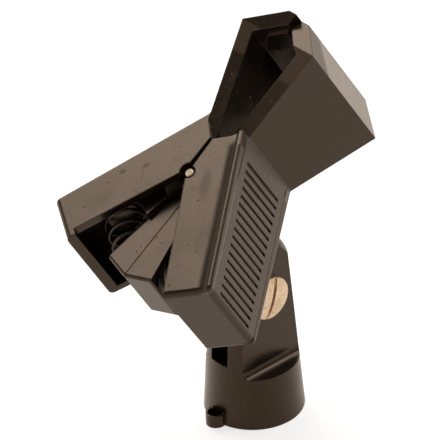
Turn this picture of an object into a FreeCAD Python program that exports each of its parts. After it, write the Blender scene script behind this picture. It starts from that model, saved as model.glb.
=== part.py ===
import FreeCAD, Part
import math
import os
from FreeCAD import Matrix, Vector

# Sprung microphone clip on a stand base.
# Two pincers turn on one pin. Each is a handle and a jaw moulded as one shell.
# A two-part stem carries the pin between them and reaches back to the fork of the base.
# All sizes are in millimetres. Base: +Z up, origin at the middle of its bottom face.
# Clip: +X towards the jaws, +Y towards the right shell, +Z along the pin, origin at mid-pin.

# Base and fork
base_bottom_radius = 13.0
base_radius_lost_per_mm = 0.068
pivot_height = 35.5
ear_top_height = 52.0
ear_dome_rise = 9.0
ear_dome_radius = 10.2
fork_slot_width = 6.0
fork_slot_floor = 17.5
ledge_height = 14.5
ear_flat_offset = 6.7
ledge_fillet = 2.0

# Boss on the rim of the base, with a blind hole in its top
rim_boss_radius = 2.65
rim_boss_height = 3.4
rim_boss_offset = 13.35
rim_hole_radius = 1.95
rim_hole_offset = 13.6
rim_hole_depth = 2.6

# Threaded insert for the stand
insert_length = 11.0
insert_outer_radius = 9.6
insert_groove_depth = 0.5
insert_groove_length = 3.0
thread_minor_radius = 7.43
thread_entry_chamfer = 0.5
thread_relief_length = 1.2
thread_relief_radius = 8.2

# Swivel screw and nut
screw_shank_radius = 2.5
screw_head_radius = 5.85
screw_head_height = 2.1
screw_head_dome = 0.9
screw_slot_width = 1.0
screw_slot_depth = 1.2
screw_slot_lean = 19.0
nut_across_flats = 8.0
nut_thickness = 3.5
nut_pocket_depth = 2.2

# Fits
running_clearance = 0.05
seat_clearance = 0.02
slot_side_clearance = 0.1
parting_gap = 0.1
lug_gap = 0.15
jaw_meeting_gap = 0.3

# How the clip sits on its base
clip_tilt = 58.9
pin_above_pivot = 6.3
pin_ahead_of_pivot = 33.1

# Handles
handle_angle = 30.0
handle_reach_outside = 34.9
handle_reach_inside = 35.7
handle_width = 13.3
handle_top_reach = 11.1
depth_at_top = 15.0
depth_at_tip = 13.7
wall = 2.0
cavity_reach = 33.0
plate_thickness = 1.9
rim_proud = 0.5
rim_width = 0.95
rim_slope_width = 0.85
rim_round = 0.6
tip_round = 1.6
tip_edge_round = 1.5

# Inner edges of the two end plates: the wide one carries the proud rim.
# Edges beside the stem run from the pin to the tip, and those above the pin up to the jaw.
wide_edge_out = (-0.8, -0.1)
wide_top = ((1.0, -0.3), (10.4, -0.6), (13.4, 3.7))
wide_notch_radius = 1.75
narrow_edge_out = (0.9, 2.0)
narrow_top = ((1.0, 1.25), (10.4, 1.0), (13.74, 4.82))
narrow_notch_radius = 2.5
narrow_tip_edge_out = 0.4
top_wall_inner = 10.2
web_thickness = 2.2
web_lean = 1.3
inner_wall_thickness = 1.6
inner_wall_start = 4.6

# Grip grooves across the back of each handle
groove_count = 17
groove_pitch = 2.33
groove_first = -4.65
groove_width = 0.9
groove_depth = 0.5
groove_half_length_top = 9.4
groove_half_length_tip = 8.6

# Hinge pin and the lugs that turn on it
pin_radius = 1.25
pin_half_length = 13.9
pin_end_chamfer = 0.2
lug_radius = 3.6
lug_thickness = 1.35

# Jaws
jaw_corner = (40.2, 13.15)
jaw_tip = (47.9, 2.6)
jaw_thickness = 4.2
plain_depth_at_root = 15.0
plain_depth_at_corner = 19.5
plain_depth_at_tip = 19.6
stepped_depth_at_root = 11.3
stepped_depth_at_corner = 20.3
stepped_depth_at_tip = 16.2
pad_height = 0.7
pad_setback = 3.4
pad_end_margin = 2.6

# Guide tab inside the left handle
tab_free_edge = ((8.3, -0.45), (14.9, -2.5))
tab_thickness = 1.4
tab_mark_radius = 1.7
tab_mark_depth = 0.2
tab_mark_place = (12.1, 1.7)

# Stem
stem_half_depth = 8.75
stem_hub_radius = 3.4
stem_half_width_at_pin = 2.5
stem_half_width_at_tip = 7.9
stem_shoulder_drop = 28.1
stem_ridge_drop = 30.3
stem_edge_round = 0.8
arm_top_drop = 4.7
arm_bottom_drop = 16.0
arm_clear_depth = 15.5
arm_notch_clearance = 0.5
eye_radius = 7.0
peg_radius = 1.2
peg_length = 2.6
peg_places = ((-12.5, -5.8), (-27.0, 6.6))

# Springs between the handles and the stem
spring_mean_radius = 5.5
spring_wire_radius = 0.5
spring_wire_sides = 6
spring_turns = 6
spring_points_a_turn = 8
spring_closed_turns = 0.9
spring_closed_pitch = 1.06
spring_place = 22.6
spring_pocket_radius = 6.7
spring_pocket_floor = -7.3
spigot_radius = 4.2
spigot_height = 2.0

# Worked out from the sizes above
far = 80.0
tiny = 0.01
handle_cos = math.cos(math.radians(handle_angle))
handle_sin = math.sin(math.radians(handle_angle))
tongue_half_thickness = fork_slot_width / 2 - slot_side_clearance
plate_edge = jaw_meeting_gap / 2
parting_half = parting_gap / 2
pin_bore_radius = pin_radius + running_clearance
swivel_bore_radius = screw_shank_radius + running_clearance
lug_inner_start = stem_half_depth + lug_gap
lug_inner_end = lug_inner_start + lug_thickness
lug_outer_start = lug_inner_end + lug_gap
lug_outer_end = lug_outer_start + lug_thickness


def base_radius(height):
    return base_bottom_radius - base_radius_lost_per_mm * height


def handle_point(along, out):
    """A point of the right handle, from its distance down the handle and out from the pin."""
    return (-along * handle_cos + out * handle_sin, along * handle_sin + out * handle_cos)


def half_depth(x):
    """Half the depth of the handles along the pin, which narrows towards their tips."""
    top = handle_point(-handle_top_reach, handle_width)[0]
    tip = handle_point(handle_reach_outside, 0)[0]
    return depth_at_tip + (depth_at_top - depth_at_tip) * (x - tip) / (top - tip)


def prism(outline, low, high):
    """Straight solid on an outline of the clip's profile, between two depths."""
    corners = [Vector(x, y, low) for x, y in outline]
    wire = Part.makePolygon(corners + corners[:1])
    return Part.Face(wire).extrude(Vector(0, 0, high - low))


def side_prism(outline, low, high):
    """Straight solid on an outline seen across the clip or base, as (x, z) points."""
    corners = [Vector(x, low, z) for x, z in outline]
    wire = Part.makePolygon(corners + corners[:1])
    return Part.Face(wire).extrude(Vector(0, high - low, 0))


def rod(radius, start, end):
    """Round bar between two points."""
    axis = end.sub(start)
    return Part.makeCylinder(radius, axis.Length, start, axis)


def handle_slab(inset):
    """Wedge between the two leaning end planes of a handle, inset from both."""
    low = -far
    outline = [
        (low, half_depth(low) - inset),
        (far, half_depth(far) - inset),
        (far, inset - half_depth(far)),
        (low, inset - half_depth(low)),
    ]
    return side_prism(outline, -far, far)


def edges_along(shape, points, direction, tolerance=0.05):
    """The straight edges of a shape that pass a given point and run in a given direction."""
    found = []
    for edge in shape.Edges:
        first, last = edge.Vertexes[0].Point, edge.Vertexes[-1].Point
        run = last.sub(first)
        if run.Length < tolerance or run.normalize().cross(direction).Length > tolerance:
            continue
        for point in points:
            if edge.distToShape(Part.Vertex(point))[0] < tolerance:
                found.append(edge)
    return found


def plate_outline(edge_out, top):
    """Outline of a handle seen along the pin, from the inner edges of one of its end plates."""
    return [
        handle_point(-handle_top_reach, handle_width),
        handle_point(handle_reach_outside, handle_width),
        handle_point(handle_reach_inside, edge_out[1]),
        handle_point(0, edge_out[0]),
        *top,
    ]


def long_block(inset):
    """Wedge as wide as may be, with the slanting tip face and its two rounded edges."""
    outside = handle_point(handle_reach_outside, handle_width)
    inside = handle_point(handle_reach_inside, wide_edge_out[1])
    run = Vector(outside[0] - inside[0], outside[1] - inside[1], 0).normalize() * far
    outline = [
        (outside[0] + run.x, outside[1] + run.y),
        (inside[0] - run.x, inside[1] - run.y),
        (far, -far),
        (far, far),
    ]
    block = prism(outline, -far, far).common(handle_slab(inset))
    corners = []
    for sign in (1, -1):
        corners.append((outside[0], outside[1], sign * (half_depth(outside[0]) - inset)))
    return block.makeFillet(tip_edge_round, [e for e in block.Edges if near_any(e, corners)])


def along_handle(profile, side):
    """Straight solid down a handle from (out, inset) points that follow its leaning end plane."""
    corners = []
    for out, inset in profile:
        x, y = handle_point(-far, out)
        corners.append(Vector(x, y, side * (half_depth(x) - inset)))
    start, end = handle_point(-far, 0), handle_point(far, 0)
    lean = side * (half_depth(end[0]) - half_depth(start[0]))
    run = Vector(end[0] - start[0], end[1] - start[1], lean)
    return Part.Face(Part.makePolygon(corners + corners[:1])).extrude(run)


def narrow_plate_trim(side):
    """What the narrow end plate lacks against the wide one, along all its inner edges."""
    root = handle_point(-handle_top_reach, handle_width)
    outline = [
        handle_point(cavity_reach, narrow_edge_out[1]),
        handle_point(0, narrow_edge_out[0]),
        *narrow_top,
        root,
        (far, root[1]),
        (far, -far),
        handle_point(cavity_reach, -far),
    ]
    low, high = sorted((side * lug_outer_start, side * far))
    return prism(outline, low, high)


def tip_wall_trim(side):
    """Cut that slants the free edge of the tip wall down towards the narrow end plate."""
    corners = []
    free_edge = (
        (-side * far, wide_edge_out[1]),
        (-side * depth_at_tip, wide_edge_out[1]),
        (side * depth_at_tip, narrow_tip_edge_out),
        (side * far, narrow_tip_edge_out),
    )
    for depth, out in free_edge:
        x, y = handle_point(cavity_reach, out)
        corners.append(Vector(x, y, depth))
    for depth in (side * far, -side * far):
        x, y = handle_point(cavity_reach, -far)
        corners.append(Vector(x, y, depth))
    face = Part.Face(Part.makePolygon(corners + corners[:1]))
    return face.extrude(Vector(-handle_cos, handle_sin, 0) * far)


def handle_body(wide_side):
    """Solid block of one handle: rounded tip, and on its wide side a rim round a sunk plate."""
    body = prism(plate_outline(wide_edge_out, wide_top), -far, far)
    tips = [Vector(*handle_point(handle_reach_outside, handle_width), 0)]
    body = body.makeFillet(tip_round, edges_along(body, tips, Vector(0, 0, 1)))
    body = body.common(handle_slab(0))
    rims = []
    for sign in (1, -1):
        x, y = handle_point(0, handle_width)
        rims.append((x, y, sign * half_depth(x)))
    body = body.makeFillet(rim_round, [e for e in body.Edges if near_any(e, rims)])
    body = body.common(long_block(0))
    rim_inside = handle_width - rim_width
    sunk = [
        (rim_inside, -far),
        (rim_inside, 0),
        (rim_inside - rim_slope_width, rim_proud),
        (rim_inside - rim_slope_width, wall),
        (-far, wall),
        (-far, -far),
    ]
    body = body.cut(along_handle(sunk, wide_side).cut(long_block(rim_proud)))
    return body.cut([narrow_plate_trim(-wide_side), tip_wall_trim(-wide_side)])


def near_any(edge, points, tolerance=0.05):
    return any(edge.distToShape(Part.Vertex(Vector(*p)))[0] < tolerance for p in points)


def handle_cavity():
    """Hollow of the handle between its end plates, open on the side that faces the stem."""
    inner = handle_width - wall
    outline = [
        (inner_wall_start, plate_edge),
        (inner_wall_start, plate_edge + inner_wall_thickness),
        (top_wall_inner - web_thickness, plate_edge + inner_wall_thickness),
        handle_point(-handle_top_reach + web_thickness + web_lean, inner),
        handle_point(cavity_reach, inner),
        handle_point(cavity_reach, -far),
        (far, -far),
        (far, plate_edge),
    ]
    return prism(outline, -far, far).common(handle_slab(rim_proud + plate_thickness))


def arm_notch(side):
    """Cut in the far end plate that lets the stem's arm pass as the handle is squeezed."""
    reach = tongue_half_thickness + arm_notch_clearance
    start = arm_top_drop - arm_notch_clearance
    end = arm_bottom_drop + 2 * arm_notch_clearance
    outline = [
        handle_point(start, -wall),
        handle_point(start, reach),
        handle_point(end, reach),
        handle_point(end, -wall),
    ]
    low, high = sorted((side * lug_outer_end, side * far))
    return prism(outline, low, high)


def hinge_lug(low, high):
    """Plate round the pin that runs up into the walls of its own shell."""
    inner = handle_width - wall
    gusset = [
        (0, 0),
        (-pin_bore_radius, lug_radius - tiny),
        handle_point(0, inner + wall / 2),
        handle_point(-handle_top_reach + web_thickness, inner + wall / 2),
        (top_wall_inner - wall / 2, plate_edge + wall),
        (inner_wall_start + wall / 2, plate_edge + wall / 2),
    ]
    disc = Part.makeCylinder(lug_radius, high - low, Vector(0, 0, low))
    return disc.fuse(prism(gusset, low, high))


def outer_lug_root(side):
    """Thickening that joins the outer lug to the end plate beside it."""
    outline = [
        (inner_wall_start, narrow_top[0][1] + wall / 2),
        handle_point(-wall, handle_width - 2 * wall),
        handle_point(-handle_top_reach + web_thickness, handle_width - wall),
        (top_wall_inner - wall / 2, narrow_top[0][1] + wall / 2),
    ]
    low, high = sorted((side * lug_outer_start, side * (lug_outer_end + wall / 2)))
    return prism(outline, low, high)


def grip_grooves():
    """Shallow cross grooves in the back of a handle, a little shorter towards the tip."""
    cuts = []
    for i in range(groove_count):
        along = groove_first + i * groove_pitch
        share = i / (groove_count - 1)
        reach = groove_half_length_top + (groove_half_length_tip - groove_half_length_top) * share
        outline = [
            handle_point(along - groove_width / 2, handle_width + wall),
            handle_point(along + groove_width / 2, handle_width + wall),
            handle_point(along + groove_width / 2, handle_width - groove_depth),
            handle_point(along - groove_width / 2, handle_width - groove_depth),
        ]
        cuts.append(prism(outline, -reach, reach))
    return Part.makeCompound(cuts)


def unit(start, end):
    run = Vector(end[0] - start[0], end[1] - start[1], 0)
    return run.normalize()


def shifted_corner(corner, before, after, depth):
    """The inner corner of a wall of even thickness, from its outer corner and directions."""
    bisector = Vector(before.y + after.y, -before.x - after.x, 0).normalize()
    reach = depth / (bisector.x * before.y - bisector.y * before.x)
    return Vector(corner[0], corner[1], 0) + bisector * reach


def jaw_envelope(step_side):
    """Space between the flared ends of a jaw, stepped back at its root on one side."""
    root = handle_point(-handle_top_reach, handle_width)[0]
    stations = (root, jaw_corner[0], jaw_tip[0])
    plain = (plain_depth_at_root, plain_depth_at_corner, plain_depth_at_tip)
    stepped = (stepped_depth_at_root, stepped_depth_at_corner, stepped_depth_at_tip)
    first_run = stations[1] - stations[0]
    start = root - first_run / 2
    plain_start = plain[0] - (plain[1] - plain[0]) / 2
    stepped_start = stepped[0] - (stepped[1] - stepped[0]) / 2
    end = jaw_tip[0] + wall
    outline = [(start, -step_side * plain_start)]
    outline += [(x, -step_side * z) for x, z in zip(stations, plain)]
    outline += [(end, -step_side * plain[2]), (end, step_side * stepped[2])]
    outline += [(x, step_side * z) for x, z in reversed(list(zip(stations, stepped)))]
    outline.append((start, step_side * stepped_start))
    return side_prism(outline, -far, far)


def jaw(step_side):
    """Jaw plate, its turned-in tip and the raised pad inside the tip."""
    root = handle_point(-handle_top_reach, handle_width)
    out_run = unit(root, jaw_corner)
    in_run = unit(jaw_corner, jaw_tip)
    inner = shifted_corner(jaw_corner, out_run, in_run, jaw_thickness)
    meet = plate_edge
    tip_end = inner + in_run * ((meet - inner.y) / in_run.y)
    root_end = inner - out_run * ((inner.y - meet) / out_run.y)
    outline = [
        root,
        jaw_corner,
        jaw_tip,
        (jaw_tip[0], meet),
        (tip_end.x, meet),
        (inner.x, inner.y),
        (root_end.x, meet),
        (top_wall_inner - wall / 4, meet),
        (top_wall_inner - wall / 4, meet + wall / 2),
        handle_point(-handle_top_reach + web_thickness, handle_width - wall / 2),
    ]
    plate = prism(outline, -far, far)
    pad_start = inner + in_run * pad_setback
    pad_end = tip_end - in_run * (wall / 2)
    lift = Vector(in_run.y, -in_run.x, 0) * pad_height
    sink = lift / -2
    corners = [pad_start + sink, pad_start + lift, pad_end + lift, pad_end + sink]
    step_end = stepped_depth_at_tip - pad_end_margin
    plain_end = plain_depth_at_tip - pad_end_margin
    low, high = sorted((step_side * step_end, -step_side * plain_end))
    pad = prism([(v.x, v.y) for v in corners], low, high)
    return plate.fuse(pad).common(jaw_envelope(step_side))


def guide_tab():
    """Flat tab that stands on the inside of the left handle, with an ejector mark."""
    inner = handle_width - wall / 2
    start, end = tab_free_edge
    outline = [
        handle_point(start[0], inner),
        handle_point(*start),
        handle_point(*end),
        handle_point(end[0], inner),
    ]
    tab = prism(outline, -lug_inner_start - tab_thickness, -lug_inner_start)
    x, y = handle_point(*tab_mark_place)
    face = -lug_inner_start - tab_thickness
    mark = Part.makeCylinder(tab_mark_radius, 2 * tab_mark_depth, Vector(x, y, face - tab_mark_depth))
    return tab.cut(mark)


def jaw_root_relief(side):
    """Clears the end of the jaw's root for the wide end plate of the other shell."""
    top = narrow_top[1][0] + arm_notch_clearance
    outline = [(0, -wall), (0, narrow_top[0][1]), (top, narrow_top[1][1]), (top, -wall)]
    low, high = sorted((side * lug_outer_end, side * far))
    return prism(outline, low, high)


def pin_notch(radius, side):
    """Round hole in an end plate that leaves the end of the pin in sight."""
    return Part.makeCylinder(radius, far, Vector(0, 0, 0), Vector(0, 0, side))


def shell(step_side, with_tab):
    """One pincer on the +Y side: handle and jaw, with its wide plate and stepped jaw near or far."""
    body = handle_body(step_side).cut(handle_cavity())
    notches = [pin_notch(wide_notch_radius, step_side), pin_notch(narrow_notch_radius, -step_side)]
    body = body.cut(notches).fuse(jaw(step_side).cut(jaw_root_relief(-step_side)))
    x, y = handle_point(spring_place, handle_width - wall)
    out = Vector(handle_sin, handle_cos, 0)
    spigot = rod(spigot_radius, Vector(x, y, 0) - out * spigot_height, Vector(x, y, 0) + out * (wall / 2))
    inner_lug = sorted((step_side * lug_inner_start, step_side * lug_inner_end))
    outer_lug = sorted((-step_side * lug_outer_start, -step_side * lug_outer_end))
    pieces = [spigot, hinge_lug(*inner_lug), hinge_lug(*outer_lug), outer_lug_root(-step_side)]
    if with_tab:
        pieces.append(guide_tab())
    body = body.fuse(pieces)
    body = body.cut(Part.makeCylinder(pin_bore_radius, 2 * far, Vector(0, 0, -far)))
    body = body.cut(arm_notch(1))
    body = body.cut(grip_grooves())
    return body.removeSplitter()


def across_middle(shape):
    """The same shape on the other side of the clip's middle plane."""
    return shape.mirror(Vector(0, 0, 0), Vector(0, 1, 0))


def right_shell():
    return shell(-1, False)


def left_shell():
    return across_middle(shell(1, True))


def hinge_pin():
    pin = Part.makeCylinder(pin_radius, 2 * pin_half_length, Vector(0, 0, -pin_half_length))
    ends = [e for e in pin.Edges if e.Curve.TypeId == "Part::GeomCircle"]
    return pin.makeChamfer(pin_end_chamfer, ends)


def spring_seat():
    """Centre of the spring's end on the inside of the right handle, and its direction inwards."""
    x, y = handle_point(spring_place, handle_width - wall)
    return Vector(x, y, 0), Vector(-handle_sin, -handle_cos, 0)


def coil_height(turns):
    """Height of the wire's centre after a number of turns: closed end turns, open between."""
    full = handle_width - wall - spring_pocket_floor - 2 * (spring_wire_radius + seat_clearance)
    closed = spring_closed_turns * spring_closed_pitch
    if turns <= spring_closed_turns:
        return spring_closed_pitch * turns
    if turns >= spring_turns - spring_closed_turns:
        return full - spring_closed_pitch * (spring_turns - turns)
    open_turns = spring_turns - 2 * spring_closed_turns
    return closed + (full - 2 * closed) * (turns - spring_closed_turns) / open_turns


def coil_spring():
    """Coil spring between the right handle and the floor of its pocket in the stem."""
    points = []
    for i in range(spring_turns * spring_points_a_turn + 1):
        turns = i / spring_points_a_turn
        angle = 2 * math.pi * turns
        across = Vector(math.cos(angle), math.sin(angle), 0) * spring_mean_radius
        points.append(across + Vector(0, 0, coil_height(turns)))
    path = Part.BSplineCurve()
    path.interpolate(points)
    start = path.value(path.FirstParameter)
    ahead = Vector(*path.tangent(path.FirstParameter)[0])
    side = ahead.cross(Vector(0, 0, 1)).normalize()
    up = side.cross(ahead).normalize()
    corners = []
    for i in range(spring_wire_sides + 1):
        angle = 2 * math.pi * (i + 0.5) / spring_wire_sides
        corners.append(start + (side * math.cos(angle) + up * math.sin(angle)) * spring_wire_radius)
    coil = Part.Wire(path.toShape()).makePipeShell([Part.makePolygon(corners)], True, True)
    coil.translate(Vector(0, 0, spring_wire_radius + seat_clearance))
    seat, inwards = spring_seat()
    return moved(coil, FreeCAD.Placement(seat, FreeCAD.Rotation(Vector(0, 0, 1), inwards)))


def stem_block():
    """Right half of the wedge between the handles, with the hub that holds the pin."""
    outline = [
        (0, parting_half),
        (0, stem_half_width_at_pin),
        (-stem_shoulder_drop, stem_half_width_at_tip),
        (-stem_ridge_drop, parting_half),
    ]
    block = prism(outline, -stem_half_depth, stem_half_depth)
    shoulder = Vector(-stem_shoulder_drop, stem_half_width_at_tip, 0)
    rounds = edges_along(block, [shoulder], Vector(0, 0, 1))
    for sign in (1, -1):
        middle = (outline[2][0] + outline[3][0]) / 2, (outline[2][1] + outline[3][1]) / 2
        point = Vector(middle[0], middle[1], sign * stem_half_depth)
        rounds += [e for e in block.Edges if near_any(e, [point])]
    block = block.makeFillet(stem_edge_round, rounds)
    hub = Part.makeCylinder(stem_hub_radius, 2 * stem_half_depth, Vector(0, 0, -stem_half_depth))
    return block.fuse(hub)


def stem_arm():
    """Right half of the arm that reaches back to the swivel eye."""
    outline = [
        (-arm_top_drop, 0),
        (-arm_top_drop, arm_clear_depth),
        (eye_radius - pin_above_pivot - tiny, pin_ahead_of_pivot),
        (-eye_radius - pin_above_pivot + tiny, pin_ahead_of_pivot),
        (-arm_bottom_drop, arm_clear_depth),
        (-arm_bottom_drop, 0),
    ]
    arm = side_prism(outline, parting_half, tongue_half_thickness)
    centre = Vector(-pin_above_pivot, 0, pin_ahead_of_pivot)
    eye = rod(eye_radius, centre, centre + Vector(0, tongue_half_thickness, 0))
    return arm.fuse(eye)


def stem_half(with_pegs):
    """One moulded half of the stem on the +Y side of the parting plane."""
    keep = Part.makeBox(2 * far, far, 2 * far, Vector(-far, parting_half, -far))
    half = stem_block().fuse(stem_arm()).common(keep)
    cuts = [Part.makeCylinder(pin_radius + seat_clearance, 2 * far, Vector(0, 0, -far))]
    seat, inwards = spring_seat()
    floor = seat + inwards * (handle_width - wall - spring_pocket_floor)
    cuts.append(rod(spring_pocket_radius, floor, seat))
    centre = Vector(-pin_above_pivot, -far, pin_ahead_of_pivot)
    cuts.append(rod(swivel_bore_radius, centre, centre + Vector(0, 2 * far, 0)))
    pegs = []
    for x, z in peg_places:
        reach = peg_length if with_pegs else peg_length + 2 * parting_gap
        radius = peg_radius if with_pegs else peg_radius + seat_clearance
        start = Vector(x, -peg_length if with_pegs else 0, z)
        end = Vector(x, parting_gap if with_pegs else reach, z)
        pegs.append(rod(radius, start, end))
    if with_pegs:
        return half.cut(cuts).fuse(pegs).removeSplitter()
    return half.cut(cuts + pegs).removeSplitter()


def stem_right_half():
    return stem_half(False)


def stem_left_half():
    return across_middle(stem_half(True))


def ear_outline_tool():
    """Space under the domed top of the fork."""
    shoulder = ear_top_height - ear_dome_rise
    below = Part.makeBox(2 * far, 2 * far, far + shoulder, Vector(-far, -far, -far))
    stretch = Matrix()
    stretch.A33 = ear_dome_rise / ear_dome_radius
    dome = Part.makeSphere(ear_dome_radius).transformGeometry(stretch)
    dome.translate(Vector(0, 0, shoulder))
    return below.fuse(dome)


def ear_flat_tool(side):
    """What is cut away outside an ear's flat face, down to the rounded ledge."""
    top = ear_top_height + ledge_fillet
    start = Vector(-far, ear_flat_offset, ledge_height + ledge_fillet)
    middle_y = ear_flat_offset + ledge_fillet * (1 - math.cos(math.pi / 4))
    middle_z = ledge_height + ledge_fillet * (1 - math.sin(math.pi / 4))
    arc = Part.Arc(
        start,
        Vector(-far, middle_y, middle_z),
        Vector(-far, ear_flat_offset + ledge_fillet, ledge_height),
    ).toShape()
    corners = [
        Vector(-far, ear_flat_offset + ledge_fillet, ledge_height),
        Vector(-far, base_bottom_radius + wall, ledge_height),
        Vector(-far, base_bottom_radius + wall, top),
        Vector(-far, ear_flat_offset, top),
        start,
    ]
    lines = [Part.makeLine(a, b) for a, b in zip(corners, corners[1:])]
    face = Part.Face(Part.Wire([arc] + lines))
    tool = face.extrude(Vector(2 * far, 0, 0))
    return tool if side > 0 else across_middle(tool)


def hexagon(across_flats, start, direction, length):
    """Six-sided bar along Y."""
    reach = across_flats / math.sqrt(3)
    corners = []
    for i in range(7):
        turn = math.radians(60 * i)
        offset = Vector(reach * math.cos(turn), 0, reach * math.sin(turn))
        corners.append(start + offset)
    return Part.Face(Part.makePolygon(corners)).extrude(direction * length)


def base():
    """Tapered base with its fork, screw bores, nut pocket, insert bore and rim boss."""
    body = Part.makeCone(base_bottom_radius, base_radius(ear_top_height), ear_top_height)
    body = body.common(ear_outline_tool())
    boss = Part.makeCylinder(rim_boss_radius, rim_boss_height, Vector(-rim_boss_offset, 0, 0))
    hole = Part.makeCylinder(rim_hole_radius, rim_boss_height)
    hole.translate(Vector(-rim_hole_offset, 0, rim_boss_height - rim_hole_depth))
    body = body.fuse(boss.cut(hole))
    slot = Part.makeBox(2 * far, fork_slot_width, far, Vector(-far, -fork_slot_width / 2, fork_slot_floor))
    pivot = Vector(0, -far, pivot_height)
    nut_floor = Vector(0, ear_flat_offset - nut_pocket_depth, pivot_height)
    cuts = [
        ear_flat_tool(1),
        ear_flat_tool(-1),
        slot,
        rod(screw_shank_radius + running_clearance, pivot, pivot + Vector(0, 2 * far, 0)),
        hexagon(nut_across_flats + 2 * running_clearance, nut_floor, Vector(0, 1, 0), far),
        Part.makeCylinder(insert_outer_radius + seat_clearance, insert_length),
        Part.makeCylinder(thread_relief_radius, insert_length + thread_relief_length),
    ]
    return body.cut(cuts).removeSplitter()


def thread_insert():
    """Metal ring that takes the stand's thread, grooved round its middle."""
    outer = Part.makeCylinder(insert_outer_radius, insert_length)
    groove_start = (insert_length - insert_groove_length) / 2
    groove = Part.makeCylinder(insert_outer_radius + insert_groove_depth, insert_groove_length)
    core = Part.makeCylinder(insert_outer_radius - insert_groove_depth, insert_groove_length)
    groove = groove.cut(core)
    groove.translate(Vector(0, 0, groove_start))
    bore = Part.makeCylinder(thread_minor_radius, insert_length)
    entry_radius = thread_minor_radius + thread_entry_chamfer
    entry = Part.makeCone(entry_radius, thread_minor_radius, thread_entry_chamfer)
    return outer.cut([groove, bore, entry])


def swivel_screw():
    """Slotted round-headed screw through the fork and the stem's eye."""
    seat = -ear_flat_offset
    end = ear_flat_offset - nut_pocket_depth + nut_thickness
    shank = rod(screw_shank_radius, Vector(0, seat, 0), Vector(0, end, 0))
    front = seat - screw_head_height
    edge = front + screw_head_dome
    radius = (screw_head_radius**2 + screw_head_dome**2) / (2 * screw_head_dome)
    dome = Part.makeSphere(radius, Vector(0, front + radius, 0))
    head = rod(screw_head_radius, Vector(0, front, 0), Vector(0, seat, 0)).common(dome)
    slot = Part.makeBox(2 * far, screw_slot_depth + far, screw_slot_width)
    slot.translate(Vector(-far, front - far, -screw_slot_width / 2))
    slot.rotate(Vector(0, 0, 0), Vector(0, 1, 0), screw_slot_lean - 90)
    screw = head.fuse(shank).cut(slot)
    screw.translate(Vector(0, 0, pivot_height))
    return screw.removeSplitter()


def swivel_nut():
    start = Vector(0, ear_flat_offset - nut_pocket_depth, pivot_height)
    nut = hexagon(nut_across_flats, start, Vector(0, 1, 0), nut_thickness)
    bore = rod(screw_shank_radius + seat_clearance, start - Vector(0, 1, 0), start + Vector(0, far, 0))
    return nut.cut(bore)


def clip_placement():
    """Carries the clip's own frame to its place on the base."""
    tilt = math.radians(clip_tilt)
    up = Vector(math.sin(tilt), 0, math.cos(tilt))
    across = Vector(0, -1, 0)
    along = Vector(math.cos(tilt), 0, -math.sin(tilt))
    origin = Vector(0, 0, pivot_height) + up * pin_above_pivot - along * pin_ahead_of_pivot
    return FreeCAD.Placement(Matrix(
        up.x, across.x, along.x, origin.x,
        up.y, across.y, along.y, origin.y,
        up.z, across.z, along.z, origin.z,
        0, 0, 0, 1,
    ))


def clip_pieces():
    right_spring = coil_spring()
    return {
        "right_shell": right_shell(),
        "left_shell": left_shell(),
        "hinge_pin": hinge_pin(),
        "right_spring": right_spring,
        "left_spring": across_middle(right_spring),
        "stem_right_half": stem_right_half(),
        "stem_left_half": stem_left_half(),
    }


def base_pieces():
    return {
        "base": base(),
        "thread_insert": thread_insert(),
        "swivel_screw": swivel_screw(),
        "swivel_nut": swivel_nut(),
    }


def build():
    pieces = base_pieces()
    place = clip_placement()
    for name, shape in clip_pieces().items():
        pieces[name] = moved(shape, place)
    os.makedirs("parts", exist_ok=True)
    for name, shape in pieces.items():
        solids = shape.Solids
        solid = solids[0] if len(solids) == 1 else Part.makeCompound(solids)
        solid.exportStep("parts/" + name + ".step")


def moved(shape, place):
    """A copy of a shape carried by a placement."""
    copy = shape.copy()
    copy.Placement = place.multiply(copy.Placement)
    return copy


build()
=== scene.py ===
"""The microphone clip on its stand base, dressed and lit for its portrait.

Blender's lengths are in metres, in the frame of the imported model: the base stands on z = 0 with
its axis up, the jaws lean towards +X, and the swivel screw's head looks towards -Y. Places on the
clip are written in millimetres from the hinge pin, and clip_point and handle_point put them into
that frame.
"""
import math

import bpy
import numpy as np
from mathutils import Matrix, Vector


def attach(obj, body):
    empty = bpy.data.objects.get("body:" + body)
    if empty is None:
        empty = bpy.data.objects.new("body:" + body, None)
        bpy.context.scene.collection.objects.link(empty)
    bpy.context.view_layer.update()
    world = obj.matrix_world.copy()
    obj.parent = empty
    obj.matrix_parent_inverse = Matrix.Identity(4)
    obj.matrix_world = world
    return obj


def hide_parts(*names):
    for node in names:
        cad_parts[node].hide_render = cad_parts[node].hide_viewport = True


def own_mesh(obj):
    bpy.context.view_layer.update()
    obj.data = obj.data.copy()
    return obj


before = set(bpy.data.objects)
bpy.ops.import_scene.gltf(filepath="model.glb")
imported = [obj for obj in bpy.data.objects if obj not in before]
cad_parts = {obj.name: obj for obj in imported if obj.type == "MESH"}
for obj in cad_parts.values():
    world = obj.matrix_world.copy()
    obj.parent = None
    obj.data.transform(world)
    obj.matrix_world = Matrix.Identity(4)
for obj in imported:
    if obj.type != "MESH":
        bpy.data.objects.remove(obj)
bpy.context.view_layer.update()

MM = 0.001

# The clip's own directions: up towards the jaws, across to the right pincer, along the pin.
CLIP_TILT = math.radians(58.9)
CLIP_UP = np.array([math.sin(CLIP_TILT), 0.0, math.cos(CLIP_TILT)])
CLIP_ACROSS = np.array([0.0, -1.0, 0.0])
CLIP_ALONG = np.array([math.cos(CLIP_TILT), 0.0, -math.sin(CLIP_TILT)])
CLIP_AXES = (CLIP_UP, CLIP_ACROSS, CLIP_ALONG)

# The swivel's axis and the hinge pin, in millimetres.
PIVOT = np.array([0.0, 0.0, 35.5])
PIN = PIVOT + 6.3 * CLIP_UP - 33.1 * CLIP_ALONG

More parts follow.
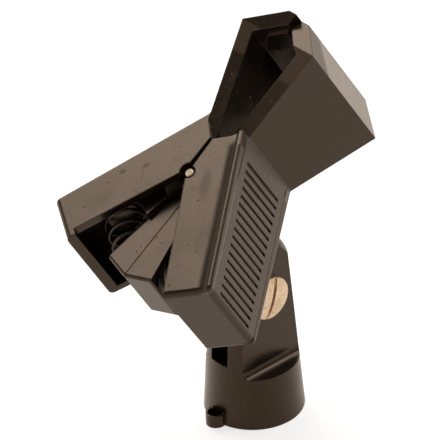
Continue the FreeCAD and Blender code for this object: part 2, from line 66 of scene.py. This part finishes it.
# Each handle leans out from the clip's middle plane.
RIGHT, LEFT = 1, -1
HANDLE_LEAN = math.radians(30)

# Where a spring sits on the inside of its handle: towards the tip, and outwards.
SPRING_SEAT = (22.6, 11.3)


def clip_point(up, across, along):
    """The place in the model, in metres, of a point measured from the pin in millimetres."""
    return (PIN + up * CLIP_UP + across * CLIP_ACROSS + along * CLIP_ALONG) * MM


def handle_axes(side):
    """A handle's own directions: from the pin to its tip, outwards, and along the pin."""
    to_tip = -math.cos(HANDLE_LEAN) * CLIP_UP + side * math.sin(HANDLE_LEAN) * CLIP_ACROSS
    outwards = math.sin(HANDLE_LEAN) * CLIP_UP + side * math.cos(HANDLE_LEAN) * CLIP_ACROSS
    return to_tip, outwards, np.cross(to_tip, outwards)


def handle_point(side, to_tip, outwards, along):
    """The same for a point of one handle, measured along that handle's own directions."""
    tip_way, out_way, _ = handle_axes(side)
    return (PIN + to_tip * tip_way + outwards * out_way + along * CLIP_ALONG) * MM


# Node trees

# A colour Mix node has sockets of one name for each kind of value; these are the colour ones.
MIX_FIRST, MIX_SECOND, MIX_RESULT = 6, 7, 2


class Wiring:
    """A node tree under construction, whose patterns are built up one output on another."""

    def __init__(self, tree):
        self.nodes, self.links = tree.nodes, tree.links

    def add(self, kind, **settings):
        node = self.nodes.new(kind)
        for key, value in settings.items():
            setattr(node, key, value)
        return node

    def feed(self, socket, value):
        """A linked value, or a plain one set on the socket itself."""
        if isinstance(value, bpy.types.NodeSocket):
            self.links.new(value, socket)
        else:
            socket.default_value = value

    def ramp(self, value, low, high, to_low=0.0, to_high=1.0):
        """Straight slope from to_low at low to to_high at high, flat outside."""
        node = self.add("ShaderNodeMapRange")
        for key, number in zip(("Value", "From Min", "From Max", "To Min", "To Max"),
                               (value, low, high, to_low, to_high)):
            self.feed(node.inputs[key], number)
        return node.outputs["Result"]

    def chain(self, operation, values):
        """One Math node for each value after the first, each taking what came before it."""
        total = values[0]
        for value in values[1:]:
            node = self.add("ShaderNodeMath", operation=operation)
            self.feed(node.inputs[0], total)
            self.feed(node.inputs[1], value)
            total = node.outputs[0]
        return total

    def plus(self, *values):
        return self.chain("ADD", values)

    def times(self, *values):
        return self.chain("MULTIPLY", values)

    def largest(self, *values):
        return self.chain("MAXIMUM", values)

    def size_of(self, value):
        node = self.add("ShaderNodeMath", operation="ABSOLUTE")
        self.feed(node.inputs[0], value)
        return node.outputs[0]

    def mix(self, share, first, second):
        """Blend from the first colour to the second."""
        node = self.add("ShaderNodeMix", data_type="RGBA")
        self.feed(node.inputs["Factor"], share)
        self.feed(node.inputs[MIX_FIRST], first)
        self.feed(node.inputs[MIX_SECOND], second)
        return node.outputs[MIX_RESULT]

    def parts(self, vector):
        """The three parts of a vector."""
        node = self.add("ShaderNodeSeparateXYZ")
        self.feed(node.inputs[0], vector)
        return node.outputs

    def rays(self, *kinds):
        """1 on any of these kinds of ray, 0 on the others."""
        path = self.add("ShaderNodeLightPath")
        return self.largest(*[path.outputs[f"Is {kind} Ray"] for kind in kinds])


class Paint(Wiring):
    """A node material under construction, with its patterns in Object coordinates."""

    def __init__(self, name):
        self.material = bpy.data.materials.new(name)
        self.material.use_nodes = True
        super().__init__(self.material.node_tree)
        self.shader = self.nodes["Principled BSDF"]
        self.place = self.add("ShaderNodeTexCoord").outputs["Object"]

    def local(self, centre, axes, stretch):
        """Coordinates from centre along the three axes, each counted in its own stretch."""
        node = self.add("ShaderNodeMapping", vector_type="TEXTURE")
        self.feed(node.inputs["Vector"], self.place)
        self.feed(node.inputs["Location"], tuple(centre))
        self.feed(node.inputs["Rotation"], tuple(Matrix(axes).transposed().to_euler()))
        self.feed(node.inputs["Scale"], tuple(stretch))
        return node.outputs["Vector"]

    def spot(self, centre, axes, half_axes, core=0.3):
        """1 in the middle of an ellipsoid, falling from its core to 0 at its skin."""
        node = self.add("ShaderNodeVectorMath", operation="LENGTH")
        self.feed(node.inputs[0], self.local(centre, axes, half_axes))
        return self.ramp(node.outputs["Value"], core, 1.0, 1.0, 0.0)

    def noise(self, scale, detail=2.0, rough=0.5, where=None, twist=0.0):
        """Smooth noise with about scale features a metre."""
        node = self.add("ShaderNodeTexNoise")
        self.feed(node.inputs["Vector"], where or self.place)
        self.feed(node.inputs["Scale"], scale)
        self.feed(node.inputs["Detail"], detail)
        self.feed(node.inputs["Roughness"], rough)
        self.feed(node.inputs["Distortion"], twist)
        return node.outputs[0]

    def bump(self, height, depth, before=None):
        node = self.add("ShaderNodeBump")
        self.feed(node.inputs["Height"], height)
        self.feed(node.inputs["Distance"], depth)
        self.feed(node.inputs["Strength"], 1.0)
        if before is not None:
            self.feed(node.inputs["Normal"], before)
        return node.outputs["Normal"]

    def lean(self, normal, way, share):
        """The normal, leaning over along a vector by a share of it."""
        offset = self.add("ShaderNodeVectorMath", operation="SCALE")
        self.feed(offset.inputs[0], way)
        self.feed(offset.inputs["Scale"], share)
        total = self.add("ShaderNodeVectorMath", operation="ADD")
        self.feed(total.inputs[0], normal)
        self.feed(total.inputs[1], offset.outputs[0])
        unit = self.add("ShaderNodeVectorMath", operation="NORMALIZE")
        self.feed(unit.inputs[0], total.outputs[0])
        return unit.outputs[0]

    def rounded_edges(self, radius):
        """The normal of a surface whose sharp edges are eased, and how near such an edge is."""
        eased = self.add("ShaderNodeBevel", samples=6)
        self.feed(eased.inputs["Radius"], radius)
        flat = self.add("ShaderNodeNewGeometry")
        agreement = self.add("ShaderNodeVectorMath", operation="DOT_PRODUCT")
        self.feed(agreement.inputs[0], eased.outputs["Normal"])
        self.feed(agreement.inputs[1], flat.outputs["Normal"])
        return eased.outputs["Normal"], self.ramp(agreement.outputs["Value"], 0.995, 0.9)

    def finish(self, color, roughness, normal=None, metallic=0.0, **fixed):
        """Feed the shader; what is the same all over the surface is set on its own socket."""
        self.feed(self.shader.inputs["Base Color"], color)
        self.feed(self.shader.inputs["Roughness"], roughness)
        self.feed(self.shader.inputs["Metallic"], metallic)
        if normal is not None:
            self.feed(self.shader.inputs["Normal"], normal)
        for key, value in fixed.items():
            self.shader.inputs[key.replace("_", " ")].default_value = value
        return self.material


def shade_of(color, strength=1.0):
    """A colour with its alpha, made lighter or darker by strength."""
    return (*[part * strength for part in color], 1)


# Materials

# Painted light: the grip grooves' colour, lighter than the plastic, lifts the shade that their depth
# casts.
GROOVE_PAINTED_LIGHT = (0.05, 0.034, 0.022)
WARM_GLOSS = (1.0, 0.76, 0.58, 1.0)


def handle_millimetres(p, side):
    """A handle's own coordinates in millimetres: towards the tip, outwards, along the pin."""
    return p.parts(p.local(PIN * MM, handle_axes(side), (MM, MM, MM)))


def bead_hollow(p, normal):
    """The soft hollow beside the bead on the right handle's end plates.

    It rises towards the bead with the square of the way across it, and fades out at the jaw's end.
    """
    hollow_foot, bead_foot, rise = 8.9, 12.1, 0.55
    to_tip, outwards, along = handle_millimetres(p, RIGHT)
    way = p.ramp(outwards, hollow_foot, bead_foot)
    on_end_plate = p.ramp(p.size_of(along), 12.0, 12.6)
    below_jaw = p.ramp(to_tip, -10.5, -7.0)
    return p.bump(p.times(way, way, on_end_plate, below_jaw), rise * MM, normal)


def groove_share(p, side):
    """1 on the floor and walls of a handle's grip grooves, 0 elsewhere.

    The product of four slopes: under the handle's skin, above the grooves' floor, within their
    length, and on the handle's side of the jaw.
    """
    to_tip, outwards, along = handle_millimetres(p, side)
    under_skin = p.ramp(outwards, 13.24, 13.05)
    above_floor = p.ramp(outwards, 12.6, 12.7)
    in_length = p.ramp(p.size_of(along), 10.1, 9.7)
    below_jaw = p.ramp(to_tip, -6.2, -5.8)
    return p.times(under_skin, above_floor, in_length, below_jaw)


def jaw_tip_lean(p, normal):
    """The near faces of the jaw tips lean a little further back.

    One fixed offset is added to the normal, from nothing at the jaw's bend to all of it 2 mm on.
    """
    offset = (-0.24, 0.0, -0.16)
    up, _, along = p.parts(p.local(PIN * MM, CLIP_AXES, (MM, MM, MM)))
    past_bend = p.ramp(up, 31.0, 33.0)
    near_end = p.ramp(along, -9.0, -11.0)
    return p.lean(normal, offset, p.times(past_bend, near_end))


def fine_scratches(p, axes, lines):
    """1 on thin lines along the first axis: the peaks of a noise drawn out 26 times along it."""
    drawn_out = p.local((0, 0, 0), axes, (26.0, 1.0, 1.0))
    return p.ramp(p.noise(lines, detail=1.0, rough=0.4, where=drawn_out), 0.735, 0.79)


def moulded_plastic(name, color, dusty, roughness, easing, marks=(), sweeps=(), shell=False):
    """Near-black moulded plastic with a semi-matt skin.

    A fine mould grain and slow clouds in the gloss, a film of dust that gathers unevenly, small
    pits, fine scratches along the sweeps, eased and slightly rubbed edges, and greasy marks where
    fingers rest. A shell also has painted light in its grip grooves, a lighter colour that lifts
    the shade of their depth, the hollow beside its bead and the lean of its jaw's tip.
    """
    p = Paint(name)
    normal, edge = p.rounded_edges(easing)
    if shell:
        normal = bead_hollow(p, jaw_tip_lean(p, normal))
    cloud = p.ramp(p.noise(48.0, detail=3.0, rough=0.6), 0.35, 0.68)
    film = p.ramp(p.noise(210.0, detail=5.0, rough=0.68, twist=0.7), 0.44, 0.72)
    pits = p.ramp(p.noise(820.0, detail=1.0, rough=0.4), 0.76, 0.81)

    shade = p.mix(p.times(film, 0.6), shade_of(color), shade_of(dusty))
    shade = p.mix(p.times(edge, 0.55), shade, shade_of(dusty, 1.9))
    rough = p.ramp(cloud, 0.0, 1.0, roughness - 0.03, roughness + 0.03)
    rough = p.plus(rough, p.times(film, 0.05), p.times(pits, 0.25))
    if shell:
        # Painted light in the grip grooves: a lighter colour lifts the shade that their depth casts.
        grooves = p.largest(groove_share(p, RIGHT), groove_share(p, LEFT))
        shade = p.mix(p.times(grooves, 0.9), shade, shade_of(GROOVE_PAINTED_LIGHT))
    if sweeps:
        scratch = p.largest(*[fine_scratches(p, axes, lines) for axes, lines in sweeps])
        shade = p.mix(p.times(scratch, 0.35), shade, shade_of(dusty, 2.2))
        rough = p.plus(rough, p.times(scratch, 0.12))
    if marks:
        greasy = p.largest(*[p.times(p.spot(centre, axes, half_axes), share)
                             for centre, axes, half_axes, share in marks])
        rough = p.plus(rough, p.times(greasy, 0.3))

    grain = p.noise(2300.0, detail=2.0, rough=0.55)
    normal = p.bump(grain, 0.012 * MM, normal)
    normal = p.bump(pits, -0.04 * MM, normal)
    return p.finish(shade, rough, normal, IOR=1.5, Specular_Tint=WARM_GLOSS)


def turned_metal(name, color, stained, roughness, centre, axis, rings=900.0, spots=420.0):
    """Turned metal: fine rings about the piece's own axis, handling stains and dull freckles."""
    p = Paint(name)
    normal, edge = p.rounded_edges(0.12 * MM)
    turn = Vector((0, 0, 1)).rotation_difference(Vector(axis)).to_matrix()
    lathe = p.add("ShaderNodeTexWave", wave_type="RINGS", rings_direction="Z")
    about_axis = p.local(centre, [tuple(column) for column in turn.col], (1, 1, 1))
    p.feed(lathe.inputs["Vector"], about_axis)
    p.feed(lathe.inputs["Scale"], rings)
    p.feed(lathe.inputs["Distortion"], 0.6)
    stain = p.ramp(p.noise(spots, detail=4.0, rough=0.65), 0.42, 0.66)
    freckle = p.ramp(p.noise(spots * 3.2, detail=2.0, rough=0.5), 0.6, 0.7)

    shade = p.mix(p.times(stain, 0.65), shade_of(color), shade_of(stained))
    shade = p.mix(p.times(freckle, 0.45), shade, shade_of(stained, 0.5))
    shade = p.mix(p.times(edge, 0.35), shade, shade_of(color, 1.25))
    rough = p.plus(p.ramp(stain, 0.0, 1.0, roughness, roughness + 0.14), p.times(freckle, 0.15))
    return p.finish(shade, rough, p.bump(lathe.outputs["Fac"], 0.008 * MM, normal), metallic=1.0)


def spring_wire(name):
    """Dark drawn wire with a thin oil film: slow changes of shade and a dull, even gloss."""
    p = Paint(name)
    cloud = p.ramp(p.noise(700.0, detail=3.0, rough=0.6), 0.4, 0.65)
    shade = p.mix(cloud, shade_of((0.075, 0.066, 0.058)), shade_of((0.04, 0.034, 0.028)))
    rough = p.ramp(cloud, 0.0, 1.0, 0.3, 0.42)
    drawn = p.bump(p.noise(2600.0, detail=2.0, rough=0.5), 0.01 * MM)
    return p.finish(shade, rough, drawn, metallic=1.0)


def dress(node, material):
    """Give a CAD node its material."""
    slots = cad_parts[node].data.materials
    slots.clear()
    slots.append(material)


def finger_mark(side, to_tip, outwards, half_length, half_width, share):
    """A greasy mark on the near plate of a handle: its place, axes, half lengths and strength."""
    near_plate, half_depth = -14.0, 2.5
    place = handle_point(side, to_tip, outwards, near_plate)
    return place, handle_axes(side), (half_length * MM, half_width * MM, half_depth * MM), share


def stem_smudge(up, across, half_length, half_width, share):
    """A dull smudge on the near face of the stem, given in the same way."""
    near_face, half_depth = -12.6, 3.0
    place = clip_point(up, across, near_face)
    return place, CLIP_AXES, (half_length * MM, half_width * MM, half_depth * MM), share


def dress_mouldings():
    """The shells and the stem's halves, with marks where fingers rest, and the plain base."""
    right_sweep = (handle_axes(RIGHT), 1700.0)
    left_sweep = (handle_axes(LEFT), 1900.0)
    base_sweep = (((0, 0, 1), (1, 0, 0), (0, 1, 0)), 1500.0)
    shell_marks = (
        finger_mark(RIGHT, 3.6, 5.4, 5.6, 1.9, 0.5),
        finger_mark(RIGHT, 20.0, 7.5, 7.0, 3.0, 0.16),
        finger_mark(LEFT, 15.7, 10.4, 1.3, 1.0, 0.8),
        finger_mark(LEFT, 9.4, 8.4, 1.5, 0.8, 0.7),
        finger_mark(LEFT, 24.0, 6.0, 6.0, 3.0, 0.15),
    )
    stem_marks = (
        stem_smudge(-19.0, -4.2, 5.2, 3.4, 0.75),
        stem_smudge(-13.0, 1.5, 3.8, 2.6, 0.6),
        stem_smudge(-25.0, 5.0, 2.6, 2.0, 0.45),
    )
    shell_plastic = moulded_plastic(
        "shell_plastic", color=(0.0145, 0.0108, 0.0075), dusty=(0.026, 0.019, 0.013),
        roughness=0.195, easing=0.42 * MM, marks=shell_marks, sweeps=(right_sweep, left_sweep),
        shell=True)
    stem_plastic = moulded_plastic(
        "stem_plastic", color=(0.012, 0.0092, 0.007), dusty=(0.030, 0.022, 0.016),
        roughness=0.24, easing=0.35 * MM, marks=stem_marks, sweeps=(left_sweep,))
    base_plastic = moulded_plastic(
        "base_plastic", color=(0.011, 0.0085, 0.006), dusty=(0.02, 0.015, 0.011),
        roughness=0.27, easing=0.3 * MM, sweeps=(base_sweep,))
    for node, material in (("right_shell", shell_plastic), ("left_shell", shell_plastic),
                           ("stem_right_half", stem_plastic), ("stem_left_half", stem_plastic),
                           ("base", base_plastic)):
        dress(node, material)


def dress_metal():
    """The screw, its nut, the thread insert and the pin, each turned about its own axis."""
    swivel, swivel_way = tuple(PIVOT * MM), (0, 1, 0)
    dress("swivel_screw", turned_metal(
        "screw_brass", color=(0.66, 0.55, 0.42), stained=(0.52, 0.40, 0.26), roughness=0.32,
        centre=swivel, axis=swivel_way))
    dress("swivel_nut", turned_metal(
        "nut_steel", color=(0.5, 0.47, 0.43), stained=(0.3, 0.27, 0.23), roughness=0.38,
        centre=swivel, axis=swivel_way))
    dress("thread_insert", turned_metal(
        "insert_brass", color=(0.62, 0.46, 0.26), stained=(0.42, 0.28, 0.14), roughness=0.35,
        centre=(0, 0, 0), axis=(0, 0, 1)))
    dress("hinge_pin", turned_metal(
        "pin_steel", color=(0.26, 0.21, 0.17), stained=(0.16, 0.105, 0.05), roughness=0.42,
        centre=tuple(PIN * MM), axis=tuple(CLIP_ALONG), rings=1500.0, spots=900.0))


# The coil springs

def wire_tube(name, path, frames, radius, sides=14, cap_rings=4):
    """A round wire along a path, closed by a half ball at each end.

    Every ring is centre + radius (cos turn * first axis + sin turn * second axis); on the ball the
    ring shrinks with the sine of the cap's angle while its centre moves on by the cosine.
    """
    first, second, ahead = frames
    angle = np.linspace(0, math.pi / 2, cap_rings + 1)[1:-1]
    centres = np.vstack([path[:1] - radius * np.cos(angle)[:, None] * ahead[:1], path,
                         path[-1:] + radius * np.cos(angle[::-1])[:, None] * ahead[-1:]])
    share = np.concatenate([np.sin(angle), np.ones(len(path)), np.sin(angle[::-1])])
    index = np.clip(np.arange(len(centres)) - len(angle), 0, len(path) - 1)
    turn = np.linspace(0, 2 * math.pi, sides, endpoint=False)
    ring = (np.cos(turn)[None, :, None] * first[index][:, None, :]
            + np.sin(turn)[None, :, None] * second[index][:, None, :])
    points = centres[:, None, :] + radius * share[:, None, None] * ring
    poles = np.array([path[0] - radius * ahead[0], path[-1] + radius * ahead[-1]])

    grid = np.arange(len(centres) * sides).reshape(-1, sides)
    here, there = grid[:-1], grid[1:]
    quads = np.stack([here, np.roll(here, -1, 1), np.roll(there, -1, 1), there], -1).reshape(-1, 4)
    first_pole, last_pole = grid.size, grid.size + 1
    near = np.stack([np.full(sides, first_pole), np.roll(grid[0], -1), grid[0]], -1)
    far = np.stack([np.full(sides, last_pole), grid[-1], np.roll(grid[-1], -1)], -1)
    mesh = bpy.data.meshes.new(name)
    mesh.from_pydata(np.vstack([points.reshape(-1, 3), poles]).tolist(), [],
                     quads.tolist() + near.tolist() + far.tolist())
    mesh.polygons.foreach_set("use_smooth", np.ones(len(mesh.polygons), bool))
    mesh.update()
    piece = bpy.data.objects.new(name, mesh)
    bpy.context.scene.collection.objects.link(piece)
    return piece


def coil_height(w, turns):
    """Height of the wire's centre after w turns.

    It climbs slowly over the closed end turns and steeply between them, in three straight runs
    whose joins a short running average softens.
    """
    closed_turns, closed_pitch, full = 0.9, 1.06, 17.56
    closed = closed_turns * closed_pitch
    joins = [0, closed_turns, turns - closed_turns, turns]
    height = np.interp(w, joins, [0, closed, full - closed, full])
    soft = np.hanning(17)
    padded = np.pad(height, len(soft) // 2, mode="reflect", reflect_type="odd")
    return np.convolve(padded, soft / soft.sum(), mode="valid")


def coil_spring(name, side):
    """A compression spring with closed ends, from the inside of a handle to its pocket in the stem.

    The wire's centre is (R cos w, R sin w, height(w)); the coil's axis is then laid along the
    handle's inward normal, from the spring's seat.
    """
    mean_radius, wire_radius, clearance = 5.5, 0.5, 0.02
    turns, points_a_turn = 6, 44
    w = np.linspace(0, turns, turns * points_a_turn + 1)
    angle, none = 2 * math.pi * w, np.zeros_like(w)
    radial = np.stack([np.cos(angle), np.sin(angle), none], -1)
    height = coil_height(w, turns) + wire_radius + clearance
    path = mean_radius * radial + np.stack([none, none, height], -1)
    ahead = np.gradient(path, axis=0)
    ahead /= np.linalg.norm(ahead, axis=1)[:, None]
    upright = np.cross(ahead, radial)

    # The right handle's directions, in the clip's own: the left spring is its mirror image.
    cos, sin = math.cos(HANDLE_LEAN), math.sin(HANDLE_LEAN)
    to_tip, outwards = np.array([-cos, sin, 0.0]), np.array([sin, cos, 0.0])
    seat = SPRING_SEAT[0] * to_tip + SPRING_SEAT[1] * outwards
    turn = np.array(Vector((0, 0, 1)).rotation_difference(Vector(-outwards)).to_matrix())
    clip_frame = np.stack([CLIP_UP, side * CLIP_ACROSS, CLIP_ALONG])

    path = (path @ turn.T + seat) @ clip_frame + PIN
    radial, upright, ahead = [rows @ turn.T @ clip_frame for rows in (radial, side * upright, ahead)]
    return wire_tube(name, path * MM, (radial, upright, ahead), wire_radius * MM)


def fit_springs():
    """Each round coil stands for its CAD spring, and moves with its handle as one piece."""
    wire = spring_wire("spring_steel")
    for side, name in ((RIGHT, "right"), (LEFT, "left")):
        coil = coil_spring(f"{name}_coil_spring", side)
        coil.data.materials.append(wire)
        dress(f"{name}_spring", wire)
        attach(coil, f"{name}_pincer")
        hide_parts(f"{name}_spring")
        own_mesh(coil)


# Camera, floor and light

def camera():
    """The photograph's view: a long lens 2.2 metres away, looking down at 33 degrees."""
    # The picture's own directions in the model: to its right, down, and away into it.
    right = Vector((0.7355, -0.6766, -0.0347)).normalized()
    down = Vector((-0.3942, -0.3857, -0.8341))
    away = right.cross(down).normalized()
    down = away.cross(right)
    distance, focal_px, picture_height_px, sensor = 2.183, 8498.0, 440.0, 36.0
    # The base's bottom centre falls this far right of and below the picture's centre.
    base_right_px, base_below_px = 40.5, 181.16
    middle = away + right * (base_right_px / focal_px) + down * (base_below_px / focal_px)

    data = bpy.data.cameras.new("portrait_camera")
    data.sensor_width = sensor
    data.lens = focal_px * sensor / picture_height_px
    data.clip_start, data.clip_end = 0.1, 20.0
    eye = bpy.data.objects.new("portrait_camera", data)
    bpy.context.scene.collection.objects.link(eye)
    turn = Matrix((right, -down, -away)).transposed()
    eye.matrix_world = Matrix.Translation(-middle * distance) @ turn.to_4x4()
    bpy.context.scene.camera = eye


# What mirrors in the plastic is a little warmer than the white that the camera sees.
WHITE = (1, 1, 1, 1)
WARM_ROOM = (1.0, 0.84, 0.7, 1)
WARM_PAPER = (1.0, 0.83, 0.69, 1)


def room():
    """A room that is white behind the object and lights it weakly.

    Mirrored in the object it is white low down and fades to that weak light above.
    """
    world = bpy.data.worlds.new("studio")
    bpy.context.scene.world = world
    world.use_nodes = True
    w = Wiring(world.node_tree)
    back = w.nodes["Background"]
    w.feed(back.inputs["Color"], w.mix(w.rays("Camera"), WARM_ROOM, WHITE))
    height = w.parts(w.add("ShaderNodeTexCoord").outputs["Generated"])["Z"]
    mirrored = w.times(w.rays("Glossy", "Transmission"), w.ramp(height, 0.25, 0.5, 1.0, 0.1))
    ambient = 0.12
    w.feed(back.inputs["Strength"], w.largest(w.rays("Camera"), mirrored, ambient))


def paper_floor():
    """Pale paper that takes the object's shadow and glows white where it is seen or mirrored."""
    reach, brightness = 6.0, 0.76
    mesh = bpy.data.meshes.new("floor")
    corners = [(-reach, -reach, 0), (reach, -reach, 0), (reach, reach, 0), (-reach, reach, 0)]
    mesh.from_pydata(corners, [], [(0, 1, 2, 3)])
    floor = bpy.data.objects.new("floor", mesh)
    bpy.context.scene.collection.objects.link(floor)
    p = Paint("floor_paper")
    cloud = p.ramp(p.noise(3.0), 0.3, 0.7)
    p.finish(p.mix(cloud, shade_of((0.3, 0.3, 0.3)), shade_of((0.33, 0.33, 0.33))), roughness=0.9)
    glow = p.add("ShaderNodeEmission")
    p.feed(glow.inputs["Color"], p.mix(p.rays("Camera"), WARM_PAPER, WHITE))
    seen = p.rays("Camera", "Glossy", "Transmission")
    p.feed(glow.inputs["Strength"], p.times(seen, brightness))
    total = p.add("ShaderNodeAddShader")
    p.feed(total.inputs[0], p.shader.outputs[0])
    p.feed(total.inputs[1], glow.outputs[0])
    p.feed(p.nodes["Material Output"].inputs["Surface"], total.outputs[0])
    mesh.materials.append(p.material)


def soft_light(name, zenith, azimuth, radius, power):
    """A round soft box, seen from the object at an angle from the zenith and one round the floor."""
    aim, distance, lamp_white = Vector((0.0, 0.0, 0.06)), 1.5, (1.0, 0.95, 0.89)
    zenith, azimuth = math.radians(zenith), math.radians(azimuth)
    aside = math.sin(zenith)
    back = Vector((aside * math.cos(azimuth), aside * math.sin(azimuth), math.cos(zenith)))
    data = bpy.data.lights.new(name, "AREA")
    data.shape = "DISK"
    data.size, data.energy, data.color = 2 * radius, power, lamp_white
    lamp = bpy.data.objects.new(name, data)
    bpy.context.scene.collection.objects.link(lamp)
    turn = back.to_track_quat("Z", "Y").to_matrix().to_4x4()
    lamp.matrix_world = Matrix.Translation(aim + distance * back) @ turn


dress_mouldings()
dress_metal()
fit_springs()
camera()
room()
paper_floor()
soft_light("overhead_softbox", zenith=36.0, azimuth=74.0, radius=0.84, power=33.0)
soft_light("side_softbox", zenith=38.0, azimuth=-18.0, radius=0.5, power=9.0)
bpy.context.scene.view_settings.view_transform = "Standard"
